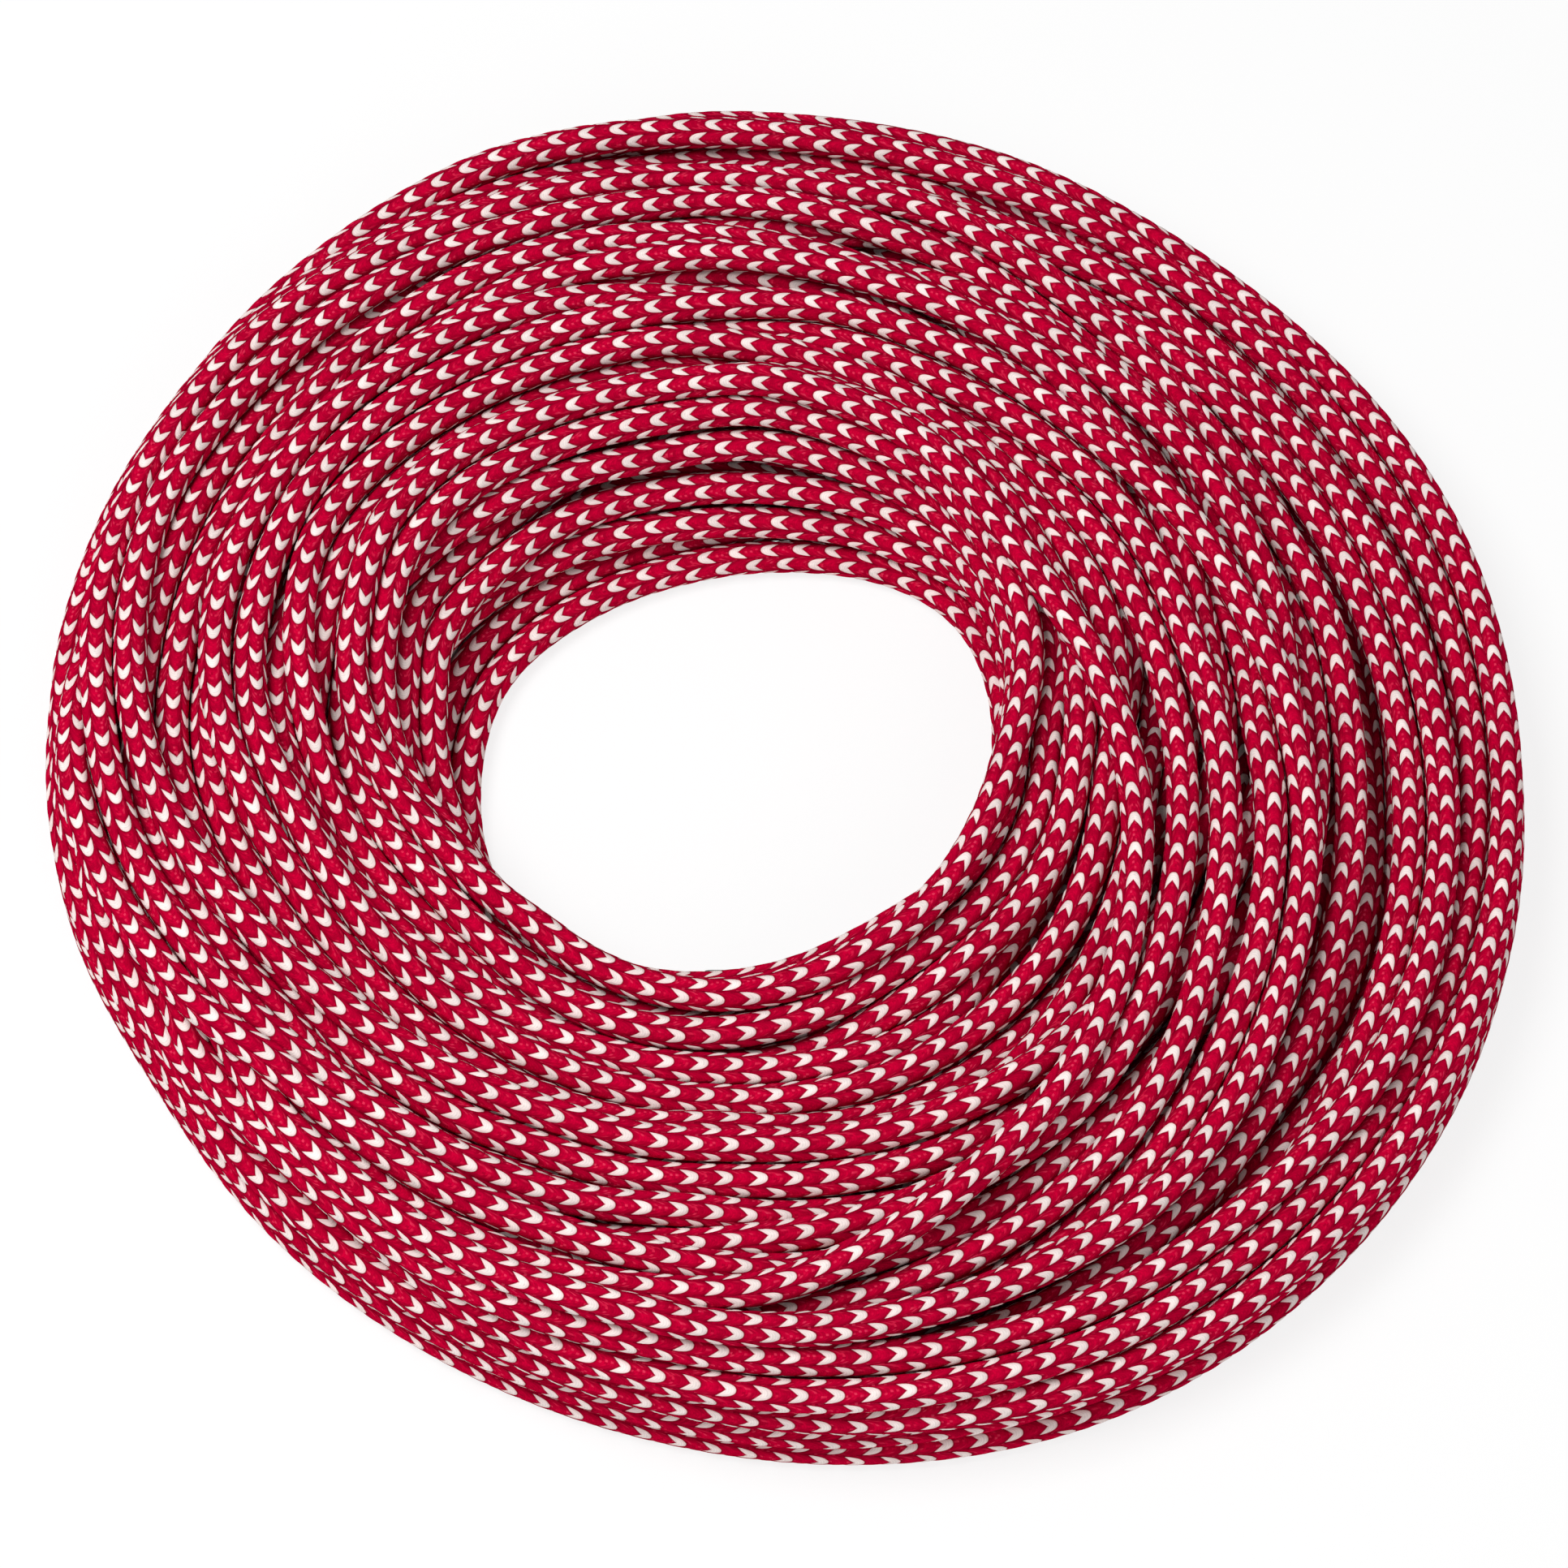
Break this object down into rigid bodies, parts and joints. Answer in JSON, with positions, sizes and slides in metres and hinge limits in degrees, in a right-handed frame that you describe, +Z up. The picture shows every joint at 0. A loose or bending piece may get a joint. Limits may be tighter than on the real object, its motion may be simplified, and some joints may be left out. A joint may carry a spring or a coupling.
{
  "type": "dynamic climbing rope",
  "caption": "Kernmantle climbing rope put away as a loose round coil with an open eye, lying flat on the ground.",
  "frame": {"origin": "on the ground, under the middle of the coil", "axes": "+Z up, through the flat thickness of the coil; +X to the right and +Y to the back as the coil is seen from the front; both free ends lie along +X"},
  "size_m": [0.4357, 0.4364, 0.0593],
  "materials": {
    "sheath": "braided crimson and off-white polyamide",
    "core_strand": "twisted natural polyamide",
    "end_sleeve": "heat-shrunk film, satin"
  },
  "bodies": {
    "root": {"sheath_coil": "sheath", "inner_turns": "sheath", "outer_end_sheath": "sheath", "outer_end_sleeve": "end_sleeve", "inner_end_sheath": "sheath", "inner_end_sleeve": "end_sleeve", "outer_end_strand_1": "core_strand", "outer_end_strand_2": "core_strand", "outer_end_strand_3": "core_strand", "outer_end_strand_4": "core_strand", "outer_end_strand_5": "core_strand", "outer_end_strand_6": "core_strand", "outer_end_strand_7": "core_strand", "inner_end_strand_1": "core_strand", "inner_end_strand_2": "core_strand", "inner_end_strand_3": "core_strand", "inner_end_strand_4": "core_strand", "inner_end_strand_5": "core_strand", "inner_end_strand_6": "core_strand", "inner_end_strand_7": "core_strand"}
  },
  "joints": []
}
